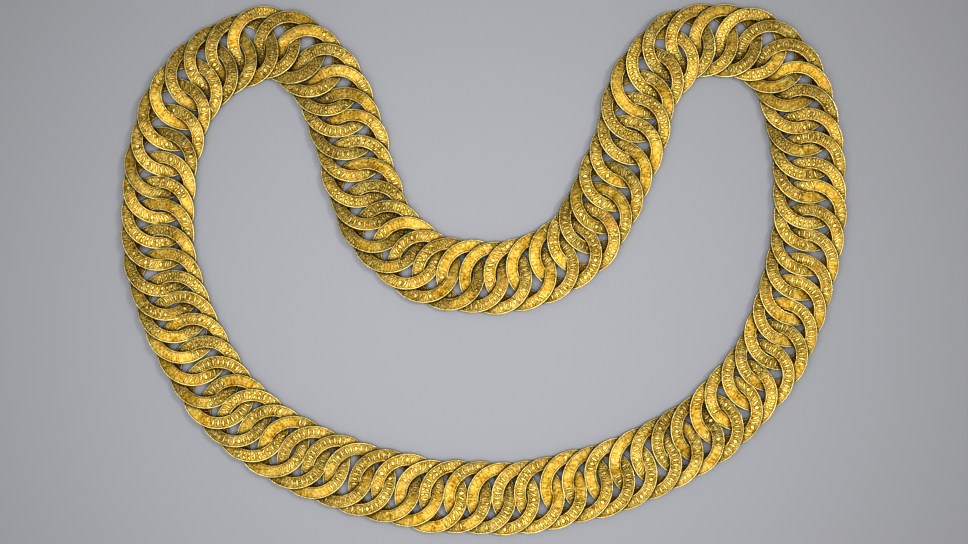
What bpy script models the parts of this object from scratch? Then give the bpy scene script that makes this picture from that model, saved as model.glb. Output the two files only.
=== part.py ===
"""Ceremonial chain of flat gold rings, laid out in a closed loop on a table.

Every ring passes through the next one and through the next but one. A ring is bent into a shallow saddle, so on
the outer side of the loop each ring lies over the one before it, and on the inner side it lies under it.
The chain has no clasp. It is made as two halves that meet at the dip in the top and at the middle of the bottom,
with a small clearance where their rings pass through each other.

Metres, +Z up. The rings rest on z = 0, and the origin is under the middle of the layout.
"""
import math
import random

import bmesh
import bpy
from mathutils import Matrix, Vector
from mathutils.geometry import interpolate_bezier

MM = 0.001

# The ring
RING_OUTER = 41.0 * MM
RING_BAND = 6.35 * MM
RING_THICKNESS = 1.0 * MM
RING_SIDES = 16

# How the rings hang together
RING_SLACK = 0.7 * MM
BEARING_OVERLAP = 0.1 * MM
MEETING_GAP = 0.3 * MM

# How unevenly the loose rings lie, along the route and to either side of it
RING_DRIFT = 0.8 * MM
RING_STRAY = 0.8 * MM
LAYING_SEED = 4

# Middle line of the laid chain, clockwise as seen from above, from the dip in the top of the loop
CHAIN_ROUTE_MM = (
    (7, -4), (54, 15), (66, 35), (81, 66), (92, 104), (113, 128), (139, 131),
    (170, 115), (177, 99), (186, 49), (181, 1), (163, -49), (130, -88), (79, -115),
    (22, -129), (-32, -128), (-81, -116), (-130, -91), (-167, -43), (-184, 6), (-184, 57),
    (-170, 100), (-148, 120), (-121, 129), (-91, 109), (-76, 72), (-61, 29), (-35, 3),
)
ROUTE_STEPS = 24

# Gold
GOLD_COLOUR = (0.60, 0.36, 0.08, 1.0)
GOLD_ROUGHNESS = 0.28

# Worked out from the sizes above
OUTER_RADIUS = RING_OUTER / 2
INNER_RADIUS = OUTER_RADIUS - RING_BAND


def clear_scene():
    for thing in list(bpy.data.objects):
        bpy.data.objects.remove(thing, do_unlink=True)


def new_collection(name, parent):
    collection = bpy.data.collections.new(name)
    parent.children.link(collection)
    return collection


def gold_material():
    material = bpy.data.materials.new("gold")
    material.use_nodes = True
    shader = material.node_tree.nodes["Principled BSDF"]
    shader.inputs["Base Color"].default_value = GOLD_COLOUR
    shader.inputs["Metallic"].default_value = 1.0
    shader.inputs["Roughness"].default_value = GOLD_ROUGHNESS
    return material


def smooth_loop(points):
    """Closed smooth curve through the points, each joint with the direction of the circle through its neighbours."""
    count = len(points)
    directions = []
    for number, point in enumerate(points):
        arriving = point - points[number - 1]
        leaving = points[(number + 1) % count] - point
        direction = arriving / arriving.length_squared + leaving / leaving.length_squared
        directions.append(direction.normalized())
    curve = []
    for number, point in enumerate(points):
        following = (number + 1) % count
        handle = (points[following] - point).length / 3
        curve += interpolate_bezier(
            point,
            point + directions[number] * handle,
            points[following] - directions[following] * handle,
            points[following],
            ROUTE_STEPS + 1,
        )[:-1]
    return curve


def loop_length(curve):
    return sum((point - curve[number - 1]).length for number, point in enumerate(curve))


def places_along(curve, count):
    """Evenly spaced places on the closed curve, the first at its start."""
    pitch = loop_length(curve) / count
    places = []
    travelled = 0.0
    for number, point in enumerate(curve):
        following = curve[(number + 1) % len(curve)]
        run = (following - point).length
        while len(places) < count and len(places) * pitch < travelled + run:
            places.append(point.lerp(following, (len(places) * pitch - travelled) / run))
        travelled += run
    return places


def ring_placements():
    """Where each ring lies, its x axis along the chain, and the pitch from ring to ring.

    Two rings that hook through each other directly are stretched to the hole less a little slack, and one more
    ring lies between them, so the pitch is half of that. Each ring has slid a little from its even place.
    """
    chance = random.Random(LAYING_SEED)
    curve = smooth_loop([Vector((x, y, 0.0)) * MM for x, y in CHAIN_ROUTE_MM])
    length = loop_length(curve)
    stretched = 2 * INNER_RADIUS - RING_SLACK
    count = 2 * round(length / stretched)
    places = places_along(curve, count)
    placements = []
    for number, place in enumerate(places):
        along = places[(number + 1) % count] - places[number - 1]
        turn = Matrix.Rotation(math.atan2(along.y, along.x), 4, "Z")
        drift = chance.uniform(-RING_DRIFT, RING_DRIFT)
        stray = chance.uniform(-RING_STRAY, RING_STRAY)
        placements.append(Matrix.Translation(place) @ turn @ Matrix.Translation((drift, stray, 0.0)))
    return placements, length / count


def ring_twist(pitch):
    """How far the saddle rises and falls, so that neighbouring rings bear on each other.

    They come closest where the inner edge of one ring crosses the outer edge of its neighbour.
    """
    along = (pitch ** 2 + INNER_RADIUS ** 2 - OUTER_RADIUS ** 2) / (2 * pitch)
    across = math.sqrt(INNER_RADIUS ** 2 - along ** 2)
    step = 2 * across * (along / INNER_RADIUS ** 2 + (pitch - along) / OUTER_RADIUS ** 2)
    return (RING_THICKNESS - BEARING_OVERLAP) / step


def ring_mesh(name, twist, growth):
    """One flat ring with a saddle twist, its walls moved outwards all round by growth.

    A flat of the ring lies level at each high and low point of the saddle, at the full twist.
    """
    flat_turn = math.pi / RING_SIDES
    band = RING_BAND + 2 * growth
    outer = OUTER_RADIUS + growth
    thickness = RING_THICKNESS + 2 * growth
    mesh = bmesh.new()
    bmesh.ops.create_circle(mesh, segments=RING_SIDES, radius=outer)
    bmesh.ops.rotate(mesh, verts=mesh.verts, matrix=Matrix.Rotation(flat_turn, 3, "Z"))
    inward = bmesh.ops.extrude_edge_only(mesh, edges=mesh.edges)
    inner_verts = [item for item in inward["geom"] if isinstance(item, bmesh.types.BMVert)]
    shrink = (outer - band) / outer
    bmesh.ops.scale(mesh, verts=inner_verts, vec=(shrink, shrink, 1.0))
    for vert in mesh.verts:
        angle = math.atan2(vert.co.y, vert.co.x)
        vert.co.z = -twist * math.sin(2 * angle) / math.cos(2 * flat_turn) - thickness / 2
    upward = bmesh.ops.extrude_face_region(mesh, geom=mesh.faces)
    top_verts = [item for item in upward["geom"] if isinstance(item, bmesh.types.BMVert)]
    bmesh.ops.translate(mesh, verts=top_verts, vec=(0.0, 0.0, thickness))
    bmesh.ops.recalc_face_normals(mesh, faces=mesh.faces)
    data = bpy.data.meshes.new(name)
    mesh.to_mesh(data)
    mesh.free()
    return data


def add_ring(name, data, placement, collection):
    ring = bpy.data.objects.new(name, data)
    ring.matrix_world = placement
    collection.objects.link(ring)
    return ring


def add_guide_rings(name, data, placements, guides):
    """Rings that only join or cut the halves, in a collection of their own."""
    collection = new_collection(name, guides)
    for number, placement in enumerate(placements):
        ring = add_ring(f"{name}_{number:02d}", data, placement, collection)
        ring.hide_render = True
        ring.display_type = "WIRE"
    return collection


def boolean_with(target, collection, operation):
    modifier = target.modifiers.new(operation.lower(), "BOOLEAN")
    modifier.operation = operation
    modifier.solver = "EXACT"
    modifier.operand_type = "COLLECTION"
    modifier.collection = collection


def centring_shift(data, placements, twist):
    """Moves the middle of the layout over the origin, and the lowest flats on to z = 0."""
    corners = [placement @ vert.co for placement in placements for vert in data.vertices]
    middle_x = (min(corner.x for corner in corners) + max(corner.x for corner in corners)) / 2
    middle_y = (min(corner.y for corner in corners) + max(corner.y for corner in corners)) / 2
    return Matrix.Translation((-middle_x, -middle_y, twist + RING_THICKNESS / 2))


def build_chain():
    scene = bpy.context.scene.collection
    parts = new_collection("ceremonial_chain", scene)
    guides = new_collection("joining_and_cutting_rings", scene)
    gold = gold_material()

    placements, pitch = ring_placements()
    twist = ring_twist(pitch)
    ring = ring_mesh("ring", twist, 0.0)
    ring.materials.append(gold)
    clearance_ring = ring_mesh("ring_with_clearance", twist, MEETING_GAP)
    shift = centring_shift(ring, placements, twist)
    placements = [shift @ placement for placement in placements]

    half = len(placements) // 2
    right_placements = placements[:half]
    left_placements = placements[half:]

    right_half = add_ring("chain_right_half", ring, right_placements[0], parts)
    right_rings = add_guide_rings("right_ring", ring, right_placements[1:], guides)
    boolean_with(right_half, right_rings, "UNION")

    left_half = add_ring("chain_left_half", ring, left_placements[0], parts)
    left_rings = add_guide_rings("left_ring", ring, left_placements[1:], guides)
    boolean_with(left_half, left_rings, "UNION")

    # The end rings of the right half cut their clearance where they pass through the left half
    reach = math.ceil(RING_OUTER / pitch)
    end_placements = right_placements[:reach] + right_placements[-reach:]
    meeting_rings = add_guide_rings("meeting_ring", clearance_ring, end_placements, guides)
    boolean_with(left_half, meeting_rings, "DIFFERENCE")


clear_scene()
build_chain()
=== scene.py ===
"""The ceremonial chain as it looks: loose flat gold rings with raised rims and a sunk band of ornament."""
import math
import random

import bmesh
import bpy
from mathutils import Matrix, Vector
from mathutils.geometry import interpolate_bezier


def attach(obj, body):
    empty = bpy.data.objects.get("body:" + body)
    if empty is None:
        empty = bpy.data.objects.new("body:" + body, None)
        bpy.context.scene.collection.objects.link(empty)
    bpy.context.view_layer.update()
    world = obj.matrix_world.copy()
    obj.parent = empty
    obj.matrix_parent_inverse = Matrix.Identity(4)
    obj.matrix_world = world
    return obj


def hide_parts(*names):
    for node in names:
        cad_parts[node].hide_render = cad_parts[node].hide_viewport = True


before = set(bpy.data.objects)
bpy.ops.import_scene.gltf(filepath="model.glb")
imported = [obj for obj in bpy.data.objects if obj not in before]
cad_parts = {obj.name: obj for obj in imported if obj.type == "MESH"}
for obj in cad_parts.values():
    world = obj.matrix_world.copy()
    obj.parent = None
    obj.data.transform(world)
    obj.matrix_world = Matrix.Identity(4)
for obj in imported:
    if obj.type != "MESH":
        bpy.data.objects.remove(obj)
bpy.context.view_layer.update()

# The laid chain
# A closed loop of equal rings on a table, folded down between two arches. Each ring goes through the next one
# and the next but one, so the pitch is half of a ring's hole less a little slack. They lie a little unevenly.
RING_OUTER = 0.0415
RING_BAND = 0.0066
RING_THICKNESS = 0.0010
RING_SLACK = 0.0007
RING_DRIFT = 0.0008
RING_STRAY = 0.0008
LAYING_SEED = 4
OUTER_RADIUS = RING_OUTER / 2
INNER_RADIUS = OUTER_RADIUS - RING_BAND
MIDDLE_RADIUS = (OUTER_RADIUS + INNER_RADIUS) / 2
ROUTE_STEPS = 24
CHAIN_ROUTE = (
    (0.007, -0.004), (0.054, 0.015), (0.066, 0.035), (0.081, 0.066), (0.092, 0.104), (0.113, 0.128),
    (0.139, 0.131), (0.170, 0.115), (0.177, 0.099), (0.186, 0.049), (0.181, 0.001), (0.163, -0.049),
    (0.130, -0.088), (0.079, -0.115), (0.022, -0.129), (-0.032, -0.128), (-0.081, -0.116), (-0.130, -0.091),
    (-0.167, -0.043), (-0.184, 0.006), (-0.184, 0.057), (-0.170, 0.100), (-0.148, 0.120), (-0.121, 0.129),
    (-0.091, 0.109), (-0.076, 0.072), (-0.061, 0.029), (-0.035, 0.003),
)


def smooth_loop(points):
    """Closed smooth curve through the points."""
    count = len(points)
    directions = []
    for number, point in enumerate(points):
        arriving = point - points[number - 1]
        leaving = points[(number + 1) % count] - point
        direction = arriving / arriving.length_squared + leaving / leaving.length_squared
        directions.append(direction.normalized())
    curve = []
    for number, point in enumerate(points):
        following = (number + 1) % count
        handle = (points[following] - point).length / 3
        curve += interpolate_bezier(
            point,
            point + directions[number] * handle,
            points[following] - directions[following] * handle,
            points[following],
            ROUTE_STEPS + 1,
        )[:-1]
    return curve


def places_along(curve, count, pitch):
    places = []
    travelled = 0.0
    for number, point in enumerate(curve):
        following = curve[(number + 1) % len(curve)]
        run = (following - point).length
        while len(places) < count and len(places) * pitch < travelled + run:
            places.append(point.lerp(following, (len(places) * pitch - travelled) / run))
        travelled += run
    return places


def lay_rings():
    """A placement for each ring, with its x axis along the chain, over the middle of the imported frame."""
    laying_chance = random.Random(LAYING_SEED)
    curve = smooth_loop([Vector((x, y, 0.0)) for x, y in CHAIN_ROUTE])
    length = sum((point - curve[number - 1]).length for number, point in enumerate(curve))
    count = 2 * round(length / (2 * INNER_RADIUS - RING_SLACK))
    pitch = length / count
    places = places_along(curve, count, pitch)
    placements = []
    for number, place in enumerate(places):
        along = places[(number + 1) % count] - places[number - 1]
        turn = Matrix.Rotation(math.atan2(along.y, along.x), 4, "Z")
        drift = laying_chance.uniform(-RING_DRIFT, RING_DRIFT)
        stray = laying_chance.uniform(-RING_STRAY, RING_STRAY)
        placements.append(Matrix.Translation(place) @ turn @ Matrix.Translation((drift, stray, 0.0)))
    spots = [placement.translation for placement in placements]
    middle_x = (min(spot.x for spot in spots) + max(spot.x for spot in spots)) / 2
    middle_y = (min(spot.y for spot in spots) + max(spot.y for spot in spots)) / 2
    shift = Matrix.Translation((-middle_x, -middle_y, 0.0))
    return [shift @ placement for placement in placements], pitch


placements, pitch = lay_rings()

# One ring
# A flat ring of cast gold with a raised rim along both edges and a sunk band between them, on both faces.
# Each corner keeps a colour level, from 1 where it is rubbed bright, which is wear and partly a painted
# highlight, to -1 in a groove and -0.8 on the side walls, which is painted shade. Open ground is 0.
RING_STEPS = 80
RIM_WIDTH = 0.00050
RIM_SLOPE = 0.00014
BAND_DEPTH = 0.00020
EDGE_ROUND = 0.00013
GROOVE_WIDTH = 0.00036
RUBBED_AND_HIGHLIT = 1.0
OUTER_RIM_RUBBED_AND_HIGHLIT = 0.45
INNER_RIM_RUBBED_AND_HIGHLIT = 0.22
GROUND = 0.0
SIDE_SHADE = -0.8
RECESS_SHADE = -1.0
LEVEL_NORMAL = 0.9
UPRIGHT_NORMAL = 0.05
SQUARE_CORNER = math.radians(60)
NEAR = 0.00001


def inset(mesh, raised, faces, thickness, depth, level):
    """Steps the faces in and up or down, and gives their new edge its colour level: wear with a painted
    highlight, open ground, or painted shade.
    """
    bmesh.ops.inset_region(
        mesh, faces=faces, thickness=thickness, depth=depth, use_even_offset=True, use_boundary=True,
    )
    for vert in {vert for face in faces for vert in face.verts}:
        vert[raised] = level


def flat_ring():
    """A ring of rectangular section with its edges rounded and both faces sunk between the rims."""
    mesh = bmesh.new()
    raised = mesh.verts.layers.float.new("raised")
    half = RING_THICKNESS / 2
    section = [(INNER_RADIUS, -half), (OUTER_RADIUS, -half), (OUTER_RADIUS, half), (INNER_RADIUS, half)]
    corners = [mesh.verts.new((radius, 0.0, height)) for radius, height in section]
    edges = [mesh.edges.new((corners[side - 1], corners[side])) for side in range(4)]
    bmesh.ops.spin(
        mesh, geom=corners + edges, cent=(0, 0, 0), axis=(0, 0, 1), dvec=(0, 0, 0),
        angle=2 * math.pi, steps=RING_STEPS, use_merge=True,
    )
    bmesh.ops.remove_doubles(mesh, verts=mesh.verts, dist=1e-6)
    bmesh.ops.recalc_face_normals(mesh, faces=mesh.faces)
    for vert in mesh.verts:
        vert[raised] = RUBBED_AND_HIGHLIT
    for side in (1, -1):
        faces = [face for face in mesh.faces if face.normal.z * side > LEVEL_NORMAL]
        inset(mesh, raised, faces, RIM_WIDTH, 0.0, RUBBED_AND_HIGHLIT)
        # The foot of the slope into the band is painted dark: painted shade.
        inset(mesh, raised, faces, RIM_SLOPE, -BAND_DEPTH, RECESS_SHADE)
        inset(mesh, raised, faces, GROOVE_WIDTH, 0.0, GROUND)
    rounded = [
        edge for edge in mesh.edges
        if all(abs(vert.co.z) > half - NEAR for vert in edge.verts)
        and edge.calc_face_angle(0.0) > SQUARE_CORNER
    ]
    bmesh.ops.bevel(
        mesh, geom=rounded, offset=EDGE_ROUND, segments=2, profile=0.5, affect="EDGES", material=-1,
    )
    # The upright side walls are painted dark: painted shade.
    for face in mesh.faces:
        if abs(face.normal.z) < UPRIGHT_NORMAL:
            for vert in face.verts:
                vert[raised] = SIDE_SHADE
    # Rims are painted pale, the outer more than the inner: wear and a painted highlight.
    for vert in mesh.verts:
        if vert[raised] == RUBBED_AND_HIGHLIT:
            vert[raised] = OUTER_RIM_RUBBED_AND_HIGHLIT if vert.co.xy.length > MIDDLE_RADIUS else INNER_RIM_RUBBED_AND_HIGHLIT
    return mesh


# The ornament
# Leaves, reels, lozenges and pellets that stand up from the sunk band, each with a groove round its foot.
# They are struck by hand, so their length, slant and height vary a little. Part of each ring is left plain.
MOTIFS_ROUND = 38
MOTIF_STEP = 2 * math.pi / MOTIFS_ROUND
MARK_SLOPE = 0.00012
MARK_SINK = 0.00005
MARK_RUBBED_AND_HIGHLIT = 0.85
MARK_LENGTHS = (0.86, 1.06)
MARK_SLANTS = (-0.09, 0.09)
MARK_STRENGTHS = (0.5, 1.0)
LEAF_LENGTH = 0.0047
LEAF_WIDTH = 0.0010
LEAF_SLANT = math.radians(27)
SMALL_LEAF_LENGTH = 0.0026
SMALL_LEAF_WIDTH = 0.0012
SMALL_LEAF_OUT = 0.0012
SMALL_LEAF_SLANT = math.radians(30)
REEL_LENGTH = 0.0044
REEL_WIDTH = 0.0010
REEL_PELLET_OUT = 0.0012
LOZENGE_LENGTH = 0.0038
LOZENGE_WIDTH = 0.0022
LOZENGE_PELLET_OUT = 0.0014
PELLET_LENGTH = 0.0010
PELLET_WIDTH = 0.0009
ORNAMENT_SEED = 88

chance = random.Random(ORNAMENT_SEED)


def add_mark(mesh, corners, length, width, radius, angle, slant=0.0):
    """One raised mark with sloping sides, its length across the band."""
    raised = mesh.verts.layers.float["raised"]
    ground = RING_THICKNESS / 2 - BAND_DEPTH
    length *= chance.uniform(*MARK_LENGTHS)
    slant += chance.uniform(*MARK_SLANTS)
    strength = chance.uniform(*MARK_STRENGTHS)
    made = bmesh.ops.create_cone(
        mesh, cap_ends=True, segments=corners, radius1=0.5, radius2=0.5, depth=1.0,
    )["verts"]
    shape = Matrix.Diagonal((length + 2 * GROOVE_WIDTH, width + 2 * GROOVE_WIDTH, MARK_SINK)).to_4x4()
    lift = Matrix.Translation((radius, 0.0, ground - 0.4 * MARK_SINK))
    place = Matrix.Rotation(angle, 4, "Z") @ lift @ Matrix.Rotation(slant, 4, "Z") @ shape
    bmesh.ops.transform(mesh, matrix=place, verts=made)
    for vert in made:
        vert[raised] = GROUND
    faces = {face for vert in made for face in vert.link_faces}
    top = max(faces, key=lambda face: face.calc_center_median().z)
    # The groove round the foot of the mark is painted dark: painted shade.
    inset(mesh, raised, [top], GROOVE_WIDTH, 0.0, RECESS_SHADE)
    # The top of the mark is painted pale: wear and a painted highlight.
    inset(mesh, raised, [top], MARK_SLOPE, BAND_DEPTH * strength, MARK_RUBBED_AND_HIGHLIT * strength)


def add_pellets(mesh, angle, out):
    """Two pellets side by side, halfway to the next motif."""
    for side in (1, -1):
        radius = MIDDLE_RADIUS + side * out
        add_mark(mesh, 6, PELLET_LENGTH, PELLET_WIDTH, radius, angle + 0.5 * MOTIF_STEP)


def add_leaf_pair(mesh, angle):
    for side in (1, -1):
        radius = MIDDLE_RADIUS + side * SMALL_LEAF_OUT
        add_mark(mesh, 6, SMALL_LEAF_LENGTH, SMALL_LEAF_WIDTH, radius, angle, side * SMALL_LEAF_SLANT)


def add_leaning_leaf(mesh, angle):
    add_mark(mesh, 8, LEAF_LENGTH, LEAF_WIDTH, MIDDLE_RADIUS, angle, LEAF_SLANT)


def add_backward_leaf(mesh, angle):
    add_mark(mesh, 8, LEAF_LENGTH, LEAF_WIDTH, MIDDLE_RADIUS, angle, -LEAF_SLANT)


def add_reel(mesh, angle):
    add_mark(mesh, 8, REEL_LENGTH, REEL_WIDTH, MIDDLE_RADIUS, angle)
    add_pellets(mesh, angle, REEL_PELLET_OUT)


def add_lozenge(mesh, angle):
    add_mark(mesh, 4, LOZENGE_LENGTH, LOZENGE_WIDTH, MIDDLE_RADIUS, angle)
    add_pellets(mesh, angle, LOZENGE_PELLET_OUT)


def ornamented_ring(motifs, plain_from, plain_length):
    """A flat ring whose ornament repeats the motifs in turn, and leaves a plain stretch."""
    mesh = flat_ring()
    for number in range(MOTIFS_ROUND):
        if (number - plain_from) % MOTIFS_ROUND >= plain_length:
            motifs[number % len(motifs)](mesh, number * MOTIF_STEP)
    return mesh


# The finish
# High-carat gold, softly polished: pale and bright where rims and ornament are worn, which is partly a
# painted highlight;
# deep and brownish in the grooves and on the side walls, and nearly black where rings lie close, which is
# painted shade;
# and marked across the band by the chasing punch. Each ring leans a little its own way, which shows only in
# the light that it catches.
GOLD_SHADE_BLACK = (0.030, 0.010, 0.0005, 1.0)
GOLD_DEEP = (0.05, 0.018, 0.0006, 1.0)
GOLD_BROWN = (0.34, 0.155, 0.003, 1.0)
GOLD_MIDDLE = (0.70, 0.425, 0.042, 1.0)
GOLD_PALE = (1.0, 0.87, 0.29, 1.0)
GOLD_RED = (0.58, 0.27, 0.02, 1.0)
EDGE_TINT = (1.0, 0.84, 0.42, 1.0)
DEEP_LEVEL = 0.05
BROWN_LEVEL = 0.28
MIDDLE_LEVEL = 0.52
PALE_LEVEL = 0.85
GROUND_LEVEL = 0.48
WEAR_AND_PAINTED_LIGHT_SHARE = 0.76
HATCH_SHARE = 0.9
GRAIN_SHARE = 1.2
PATCH_SHARE = 0.8
RED_FROM = 0.48
RED_TO = 0.75
TONE_SHARE = 0.22
TONE_LEAST = 0.88
CONTACT_SHADE_REACH = 0.0045
CONTACT_SHADE_DARK = 0.71
CONTACT_SHADE_CLEAR = 0.97
HATCH_ALONG = 20.0
HATCH_ACROSS = 300.0
GRAIN_SCALE = 1000.0
PATCH_SCALE = 120.0
ROUGH_GROUND = 0.25
ROUGH_GRAIN = 0.22
ROUGH_WORN = -0.10
HATCH_HEIGHT = 0.5
GRAIN_HEIGHT = 0.4
PATCH_HEIGHT = 3.0
BUMP_STRENGTH = 0.8
BUMP_DISTANCE = 0.00025


def smooth_range(tree, source, start, end, start_value, end_value):
    """Goes smoothly from one value to the other while the source goes from start to end."""
    made = tree.nodes.new("ShaderNodeMapRange")
    made.interpolation_type = "SMOOTHSTEP"
    tree.links.new(source, made.inputs["Value"])
    made.inputs["From Min"].default_value = start
    made.inputs["From Max"].default_value = end
    made.inputs["To Min"].default_value = start_value
    made.inputs["To Max"].default_value = end_value
    return made.outputs["Result"]


def gold_finish():
    material = bpy.data.materials.new("worn_gold")
    material.use_nodes = True
    tree = material.node_tree
    shader = tree.nodes["Principled BSDF"]
    shader.inputs["Metallic"].default_value = 1.0
    shader.inputs["Specular Tint"].default_value = EDGE_TINT

    def node(kind, sources=(), **values):
        """A node with its sockets or settings given, and its first inputs taken from the sources."""
        made = tree.nodes.new(kind)
        for name, value in values.items():
            if name in made.inputs:
                made.inputs[name].default_value = value
            else:
                setattr(made, name, value)
        for number, source in enumerate(sources):
            tree.links.new(source, made.inputs[number])
        return made

    def sum_of(source, share, start):
        """The source times a share, added to what start gives."""
        made = node("ShaderNodeMath", [source], operation="MULTIPLY_ADD")
        made.inputs[1].default_value = share
        if isinstance(start, float):
            made.inputs[2].default_value = start
        else:
            tree.links.new(start, made.inputs[2])
        return made.outputs[0]

    def noise(place, scale, roughness):
        made = node("ShaderNodeTexNoise", [place], Scale=scale, Detail=3.0, Roughness=roughness)
        return made.outputs["Fac"]

    def mixed(factor, first, second):
        """From the first colour to the second as the factor goes from 0 to 1."""
        made = node("ShaderNodeMix", data_type="RGBA", blend_type="MIX")
        tree.links.new(factor, made.inputs["Factor"])
        for socket, colour in (("A", first), ("B", second)):
            if isinstance(colour, tuple):
                made.inputs[socket].default_value = colour
            else:
                tree.links.new(colour, made.inputs[socket])
        return made.outputs["Result"]

    raised = node("ShaderNodeAttribute", attribute_name="raised").outputs["Fac"]
    tone = node("ShaderNodeAttribute", attribute_name="ring_tone").outputs["Fac"]
    lean = node("ShaderNodeAttribute", attribute_name="lean").outputs["Fac"]
    flat_place = node("ShaderNodeAttribute", attribute_name="flat_place").outputs["Vector"]
    object_place = node("ShaderNodeTexCoord").outputs["Object"]

    parts = node("ShaderNodeSeparateXYZ", [flat_place]).outputs
    angle = node("ShaderNodeMath", [parts["Y"], parts["X"]], operation="ARCTAN2").outputs[0]
    square = node("ShaderNodeMath", [parts["X"], parts["X"]], operation="MULTIPLY").outputs[0]
    squares = node("ShaderNodeMath", [parts["Y"], parts["Y"], square], operation="MULTIPLY_ADD").outputs[0]
    radius = node("ShaderNodeMath", [squares], operation="SQRT").outputs[0]
    along = sum_of(angle, HATCH_ALONG, 0.0)
    across = sum_of(radius, HATCH_ACROSS, 0.0)
    unrolled = node("ShaderNodeCombineXYZ", [along, across, parts["Z"]]).outputs[0]
    hatch = noise(unrolled, scale=1.0, roughness=0.55)
    grain = noise(object_place, GRAIN_SCALE, roughness=0.6)
    patches = noise(object_place, PATCH_SCALE, roughness=0.65)

    average = 0.5 * (HATCH_SHARE + GRAIN_SHARE + PATCH_SHARE)
    # The colour level carries wear, painted highlights and painted shade.
    level = sum_of(raised, WEAR_AND_PAINTED_LIGHT_SHARE, GROUND_LEVEL - average)
    level = sum_of(hatch, HATCH_SHARE, level)
    level = sum_of(grain, GRAIN_SHARE, level)
    level = sum_of(patches, PATCH_SHARE, level)
    ramp = node("ShaderNodeValToRGB", [level])
    colours = ramp.color_ramp.elements
    colours[0].position = DEEP_LEVEL
    colours[0].color = GOLD_DEEP
    colours[1].position = PALE_LEVEL
    colours[1].color = GOLD_PALE
    colours.new(BROWN_LEVEL).color = GOLD_BROWN
    colours.new(MIDDLE_LEVEL).color = GOLD_MIDDLE

    red_patches = node("ShaderNodeMapRange", [patches])
    red_patches.inputs["From Min"].default_value = RED_FROM
    red_patches.inputs["From Max"].default_value = RED_TO
    red_share = node("ShaderNodeMath", [red_patches.outputs[0], tone], operation="MULTIPLY").outputs[0]
    toned = node("ShaderNodeHueSaturation")
    tree.links.new(mixed(red_share, ramp.outputs["Color"], GOLD_RED), toned.inputs["Color"])
    tree.links.new(sum_of(tone, TONE_SHARE, TONE_LEAST), toned.inputs["Value"])

    # Nearly black where other surfaces are close, found by ambient occlusion: painted shade.
    openness = node("ShaderNodeAmbientOcclusion", samples=8, Distance=CONTACT_SHADE_REACH).outputs["AO"]
    unshaded = smooth_range(tree, openness, CONTACT_SHADE_DARK, CONTACT_SHADE_CLEAR, 0.0, 1.0)
    tree.links.new(mixed(unshaded, GOLD_SHADE_BLACK, toned.outputs["Color"]), shader.inputs["Base Color"])

    grain_roughness = sum_of(grain, ROUGH_GRAIN, ROUGH_GROUND)
    tree.links.new(sum_of(raised, ROUGH_WORN, grain_roughness), shader.inputs["Roughness"])

    leaned = node("ShaderNodeBump", Strength=1.0, Distance=1.0)
    tree.links.new(lean, leaned.inputs["Height"])
    height = sum_of(hatch, HATCH_HEIGHT, sum_of(grain, GRAIN_HEIGHT, sum_of(patches, PATCH_HEIGHT, 0.0)))
    bump = node("ShaderNodeBump", Strength=BUMP_STRENGTH, Distance=BUMP_DISTANCE)
    tree.links.new(height, bump.inputs["Height"])
    tree.links.new(leaned.outputs["Normal"], bump.inputs["Normal"])
    tree.links.new(bump.outputs["Normal"], shader.inputs["Normal"])
    return material


worn_gold = gold_finish()

# The rings of the chain
# All 88 loose rings, hooked through each other, in eight runs of eleven. Each is bent into a shallow saddle,
# which lets it lie over one neighbour and under the other, and carries its ornament turned another way.
RINGS_PER_RUN = 11
BEARING_OVERLAP = 0.00016
MOST_LEAN = math.radians(4.5)
NOISE_LAYERS = 900
SHARP_CORNER = math.radians(35)

# Motifs in turn, place of the first one that is left out, number of them left out
RING_KINDS = (
    ((add_leaning_leaf, add_leaning_leaf, add_leaning_leaf, add_lozenge), 3, 6),
    ((add_reel, add_reel, add_reel, add_lozenge), 9, 9),
    ((add_leaf_pair,), 0, 5),
    ((add_reel,), 14, 12),
    ((add_backward_leaf, add_backward_leaf, add_lozenge), 21, 15),
    ((add_reel, add_leaf_pair, add_leaf_pair, add_leaf_pair), 5, 3),
)


def saddle_twist():
    """Height of the saddle at which neighbouring rings bear on each other."""
    along = (pitch ** 2 + INNER_RADIUS ** 2 - OUTER_RADIUS ** 2) / (2 * pitch)
    across = math.sqrt(INNER_RADIUS ** 2 - along ** 2)
    step = 2 * across * (along / INNER_RADIUS ** 2 + (pitch - along) / OUTER_RADIUS ** 2)
    return (RING_THICKNESS - BEARING_OVERLAP) / step


twist = saddle_twist()
kind_meshes = []
for number, (motifs, plain_from, plain_length) in enumerate(RING_KINDS):
    ring_kind = ornamented_ring(motifs, plain_from, plain_length)
    data = bpy.data.meshes.new(f"ring_kind_{number}")
    ring_kind.to_mesh(data)
    ring_kind.free()
    kind_meshes.append(data)


def bend_into_place(mesh, verts, placement):
    """Bends the flat ring into its saddle and lays it in the chain, its low sides on the table."""
    for vert in verts:
        vert.co.z -= twist * math.sin(2 * math.atan2(vert.co.y, vert.co.x))
    lift = Matrix.Translation((0.0, 0.0, twist + RING_THICKNESS / 2))
    bmesh.ops.transform(mesh, matrix=lift @ placement, verts=verts)


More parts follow.
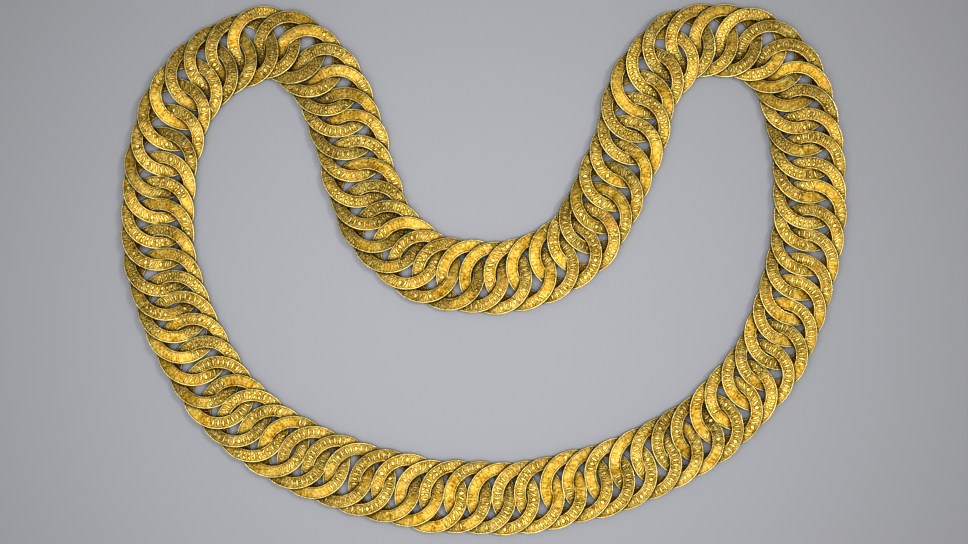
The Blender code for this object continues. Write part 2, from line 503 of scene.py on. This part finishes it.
def ring_run(name, run_placements, node_name):
    mesh = bmesh.new()
    mesh.verts.layers.float.new("raised")
    tone = mesh.verts.layers.float.new("ring_tone")
    lean = mesh.verts.layers.float.new("lean")
    flat_place = mesh.verts.layers.float_vector.new("flat_place")
    for placement in run_placements:
        already = len(mesh.verts)
        mesh.from_mesh(chance.choice(kind_meshes))
        mesh.verts.ensure_lookup_table()
        verts = mesh.verts[already:]
        turn = Matrix.Rotation(chance.uniform(0, 2 * math.pi), 3, "Z")
        bmesh.ops.rotate(mesh, verts=verts, cent=(0, 0, 0), matrix=turn)
        ring_tone = chance.random()
        ring_layer = chance.uniform(0, NOISE_LAYERS)
        slope = math.tan(chance.uniform(-MOST_LEAN, MOST_LEAN))
        side_slope = math.tan(chance.uniform(-MOST_LEAN, MOST_LEAN))
        for vert in verts:
            vert[tone] = ring_tone
            vert[lean] = slope * vert.co.x + side_slope * vert.co.y
            vert[flat_place] = (vert.co.x, vert.co.y, ring_layer)
        bend_into_place(mesh, verts, placement)
    data = bpy.data.meshes.new(name)
    mesh.to_mesh(data)
    mesh.free()
    data.shade_smooth()
    data.set_sharp_from_angle(angle=SHARP_CORNER)
    data.materials.append(worn_gold)
    piece = bpy.data.objects.new(name, data)
    bpy.context.scene.collection.objects.link(piece)
    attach(piece, "root")
    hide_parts(node_name)


half_count = len(placements) // 2
halves = {"chain_right_half": placements[:half_count], "chain_left_half": placements[half_count:]}
for node_name, half_placements in halves.items():
    for start in range(0, len(half_placements), RINGS_PER_RUN):
        run_name = f"{node_name}_rings_{start // RINGS_PER_RUN + 1}"
        ring_run(run_name, half_placements[start:start + RINGS_PER_RUN], node_name)

# The table
# A smooth pale grey surface, well past the view on every side. Its colour is darker away from the middle, a
# painted pool of light, and darker close to the rings, a painted shadow.
TABLE_SIZE = 3.0
TABLE_COLOUR = (0.388, 0.395, 0.426)
TABLE_ROUGHNESS = 0.8
SHADE_REACH = 0.007
SHADE_DARK = 0.40
SHADE_CLEAR = 0.64
FADE_MIDDLE = (-0.008, -0.030, 0.0)
FADE_FROM = 0.02
FADE_TO = 0.54
FADED = 0.36

table_mesh = bmesh.new()
bmesh.ops.create_grid(table_mesh, x_segments=1, y_segments=1, size=TABLE_SIZE / 2)
table_data = bpy.data.meshes.new("table")
table_mesh.to_mesh(table_data)
table_mesh.free()
table = bpy.data.objects.new("table", table_data)
bpy.context.scene.collection.objects.link(table)
table_finish = bpy.data.materials.new("grey_table")
table_finish.use_nodes = True
table_tree = table_finish.node_tree
table_shader = table_tree.nodes["Principled BSDF"]
table_shader.inputs["Roughness"].default_value = TABLE_ROUGHNESS
# Painted shadow close to the rings, found by ambient occlusion.
table_shade = table_tree.nodes.new("ShaderNodeAmbientOcclusion")
table_shade.samples = 8
table_shade.inputs["Distance"].default_value = SHADE_REACH
shade = smooth_range(table_tree, table_shade.outputs["AO"], SHADE_DARK, SHADE_CLEAR, 0.0, 1.0)
# Painted pool of light: the colour darkens away from the middle.
away = table_tree.nodes.new("ShaderNodeVectorMath")
away.operation = "DISTANCE"
table_tree.links.new(table_tree.nodes.new("ShaderNodeTexCoord").outputs["Object"], away.inputs[0])
away.inputs[1].default_value = FADE_MIDDLE
painted_light_pool = smooth_range(table_tree, away.outputs["Value"], FADE_FROM, FADE_TO, 1.0, FADED)
darker = table_tree.nodes.new("ShaderNodeMath")
darker.operation = "MULTIPLY"
table_tree.links.new(shade, darker.inputs[0])
table_tree.links.new(painted_light_pool, darker.inputs[1])
table_colour = table_tree.nodes.new("ShaderNodeVectorMath")
table_colour.operation = "SCALE"
table_colour.inputs[0].default_value = TABLE_COLOUR
table_tree.links.new(darker.outputs[0], table_colour.inputs["Scale"])
table_tree.links.new(table_colour.outputs["Vector"], table_shader.inputs["Base Color"])
table_data.materials.append(table_finish)

# Light and camera
# A soft key light from the right, a broad light overhead, a weak one from the left, and pale surroundings
# that are darker overhead. The view is from straight above.
WARM_LIGHT = (1.0, 0.98, 0.95)
COOL_LIGHT = (0.96, 0.98, 1.0)
SURROUNDINGS = (0.80, 0.80, 0.81, 1.0)
HORIZON_LIGHT = 0.92
HORIZON_TO = 0.72
OVERHEAD_LIGHT = 0.15
OVERHEAD_FROM = 0.93
PHOTO_WIDTH = 968
METRES_PER_PIXEL = 0.00057
VIEW_MIDDLE = Vector((0.0, -0.00136, 0.0))
CAMERA_HEIGHT = 1.6
SENSOR_WIDTH = 36.0


def soft_light(name, place, size, power, colour):
    data = bpy.data.lights.new(name, "AREA")
    data.shape = "DISK"
    data.size = size
    data.energy = power
    data.color = colour
    light = bpy.data.objects.new(name, data)
    light.location = place
    light.rotation_euler = (VIEW_MIDDLE - Vector(place)).to_track_quat("-Z", "Y").to_euler()
    bpy.context.scene.collection.objects.link(light)


soft_light("key_light", place=(4.2, 0.88, 2.72), size=1.1, power=110.0, colour=WARM_LIGHT)
soft_light("high_light", place=(0.10, -0.45, 2.20), size=1.8, power=18.0, colour=WARM_LIGHT)
soft_light("fill_light", place=(-1.8, -0.7, 1.5), size=1.2, power=11.0, colour=COOL_LIGHT)

world = bpy.data.worlds.new("pale_surroundings")
world.use_nodes = True
world_tree = world.node_tree
background = world_tree.nodes["Background"]
background.inputs["Color"].default_value = SURROUNDINGS
facing = world_tree.nodes.new("ShaderNodeSeparateXYZ")
world_tree.links.new(world_tree.nodes.new("ShaderNodeTexCoord").outputs["Generated"], facing.inputs[0])
brightness = smooth_range(
    world_tree, facing.outputs["Z"], HORIZON_TO, OVERHEAD_FROM, HORIZON_LIGHT, OVERHEAD_LIGHT,
)
world_tree.links.new(brightness, background.inputs["Strength"])
bpy.context.scene.world = world

camera_data = bpy.data.cameras.new("camera")
camera_data.sensor_width = SENSOR_WIDTH
camera_data.lens = SENSOR_WIDTH * CAMERA_HEIGHT / (PHOTO_WIDTH * METRES_PER_PIXEL)
camera = bpy.data.objects.new("camera", camera_data)
camera.location = VIEW_MIDDLE + Vector((0.0, 0.0, CAMERA_HEIGHT))
bpy.context.scene.collection.objects.link(camera)
bpy.context.scene.camera = camera
bpy.context.scene.view_settings.view_transform = "Standard"
